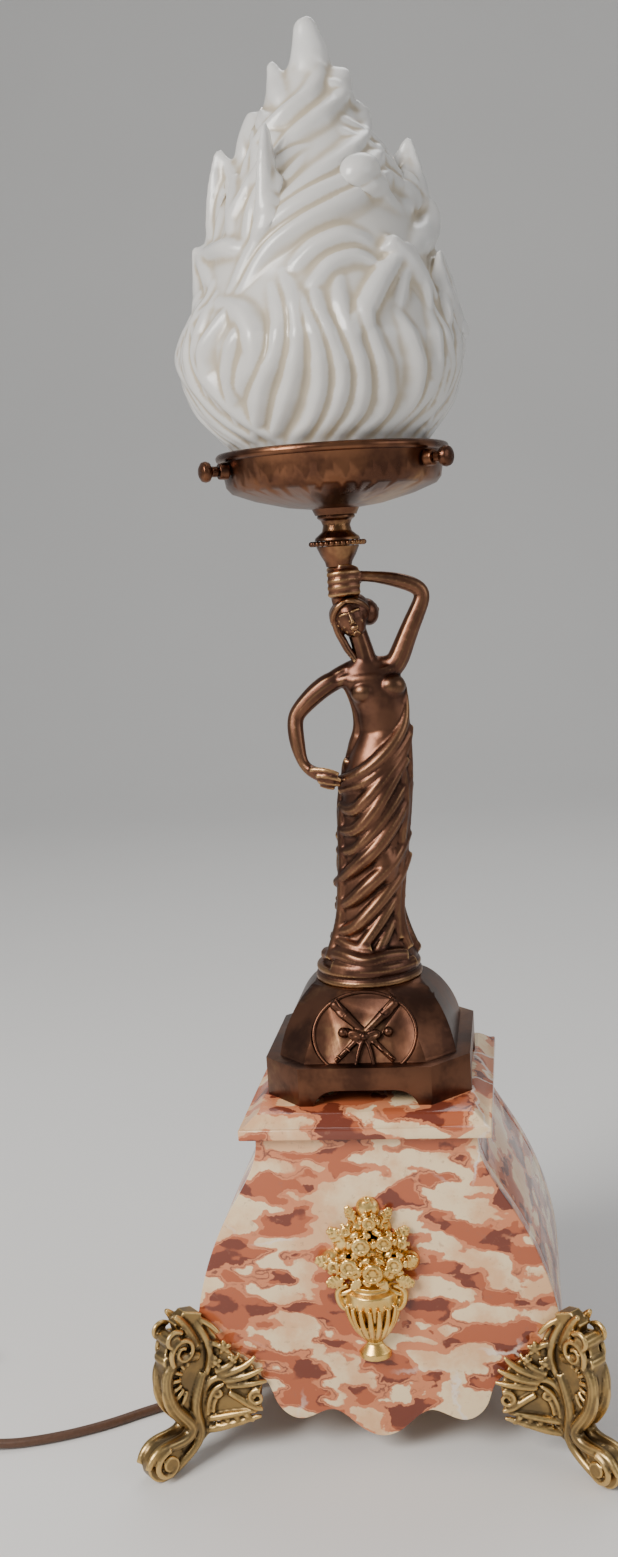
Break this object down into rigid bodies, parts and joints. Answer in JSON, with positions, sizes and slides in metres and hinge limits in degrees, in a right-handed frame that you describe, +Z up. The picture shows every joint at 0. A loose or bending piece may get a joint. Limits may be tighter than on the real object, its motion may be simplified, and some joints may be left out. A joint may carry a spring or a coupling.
{
  "type": "table lamp",
  "caption": "Table lamp: a bronze torch-bearer on an octagonal base and hollow marble plinth holds up a flame-shaped frosted glass shade in a screw gallery.",
  "frame": {"origin": "centre of the bounding box's bottom, on the surface the lamp stands on, cord left out", "axes": "+Z up along the lamp, front facing -Y, +X to the right seen from the front"},
  "size_m": [0.4595, 0.2048, 0.717],
  "materials": {
    "marble": "polished, cream with salmon and brick patches and dark veins",
    "bronze": "dark copper-brown patina with rubbed edges",
    "torch_bronze": "dark bronze patina on turned metal",
    "gilt": "bright gilding",
    "foot_brass": "aged cast brass",
    "brass": "satin",
    "steel": "satin",
    "wood": "unfinished softwood",
    "frosted_glass": "frosted, pearly white",
    "clear_glass": "clear",
    "porcelain": "glazed",
    "cord": "brown, matte",
    "tie": "matte",
    "brown_plastic": "glossy moulded",
    "cream_plastic": "glossy moulded"
  },
  "bodies": {
    "lamp": {"base_board": "wood", "beaded_ring": "torch_bronze", "bulb_cap": "brass", "bulb_filament": "steel", "bulb_glass": "clear_glass", "centre_contact": "brass", "coil_tie": "tie", "cord_coil": "cord", "cord_grommet": "cord", "cord_lamp": "cord", "cord_mid": "cord", "cord_tail": "cord", "corner_blocks": "wood", "figure": "bronze", "foot_left": "foot_brass", "foot_right": "foot_brass", "foot_screws": "steel", "gallery": "torch_bronze", "gallery_bosses": "torch_bronze", "gallery_nut": "brass", "holder_cap": "brass", "holder_core": "porcelain", "holder_ring": "brass", "holder_skirt": "brass", "inner_flex": "cord", "neck_collar": "torch_bronze", "nipple": "brass", "octagon_base": "bronze", "plinth_back": "marble", "plinth_cap": "marble", "plinth_front": "marble", "plinth_left": "marble", "plinth_right": "marble", "plug_body": "brown_plastic", "plug_pins": "brass", "stem_nut": "steel", "stem_rod": "steel", "stem_washer": "steel", "switch_base": "brown_plastic", "switch_cover": "brown_plastic", "terminal_block": "porcelain", "terminal_screws": "steel", "thread_shell": "brass", "torch_cup": "torch_bronze", "urn_mount": "gilt", "urn_nuts": "steel", "urn_studs": "steel"},
    "shade": {"glass_shade": "frosted_glass"},
    "rocker": {"switch_rocker": "cream_plastic"},
    "left_tip": {"tip_left": "torch_bronze"},
    "left_screw": {"screw_left": "torch_bronze"},
    "right_tip": {"tip_right": "torch_bronze"},
    "right_screw": {"screw_right": "torch_bronze"},
    "back_tip": {"tip_back": "torch_bronze"},
    "back_screw": {"screw_back": "torch_bronze"}
  },
  "joints": [
    {"name": "shade_lift", "type": "slide", "parent": "lamp", "child": "shade", "axis": [0, 0, 1], "range_m": [0, 0.25]},
    {"name": "left_travel", "type": "slide", "parent": "lamp", "child": "left_tip", "axis": [-0.866, -0.5, 0], "range_m": [0, 0.004]},
    {"name": "left_turn", "type": "hinge", "parent": "left_tip", "child": "left_screw", "pos_m": [-0.003, 0.012, 0.502], "axis": [-0.866, -0.5, 0], "range_deg": [0, 2100]},
    {"name": "right_travel", "type": "slide", "parent": "lamp", "child": "right_tip", "axis": [0.866, -0.5, 0], "range_m": [0, 0.004]},
    {"name": "right_turn", "type": "hinge", "parent": "right_tip", "child": "right_screw", "pos_m": [-0.003, 0.012, 0.502], "axis": [0.866, -0.5, 0], "range_deg": [0, 2100]},
    {"name": "back_travel", "type": "slide", "parent": "lamp", "child": "back_tip", "axis": [0, 1, 0], "range_m": [0, 0.004]},
    {"name": "back_turn", "type": "hinge", "parent": "back_tip", "child": "back_screw", "pos_m": [-0.003, 0.012, 0.502], "axis": [0, 1, 0], "range_deg": [0, 2100]},
    {"name": "rocker_tilt", "type": "hinge", "parent": "lamp", "child": "rocker", "pos_m": [-0.264, -0.053, 0.009], "axis": [0.0419, -0.9991, 0], "range_deg": [0, 18]}
  ],
  "couplings": [
    {"joint": "left_turn", "follows": "left_travel", "rad_per_m": 8976},
    {"joint": "right_turn", "follows": "right_travel", "rad_per_m": 8976},
    {"joint": "back_turn", "follows": "back_travel", "rad_per_m": 8976}
  ]
}
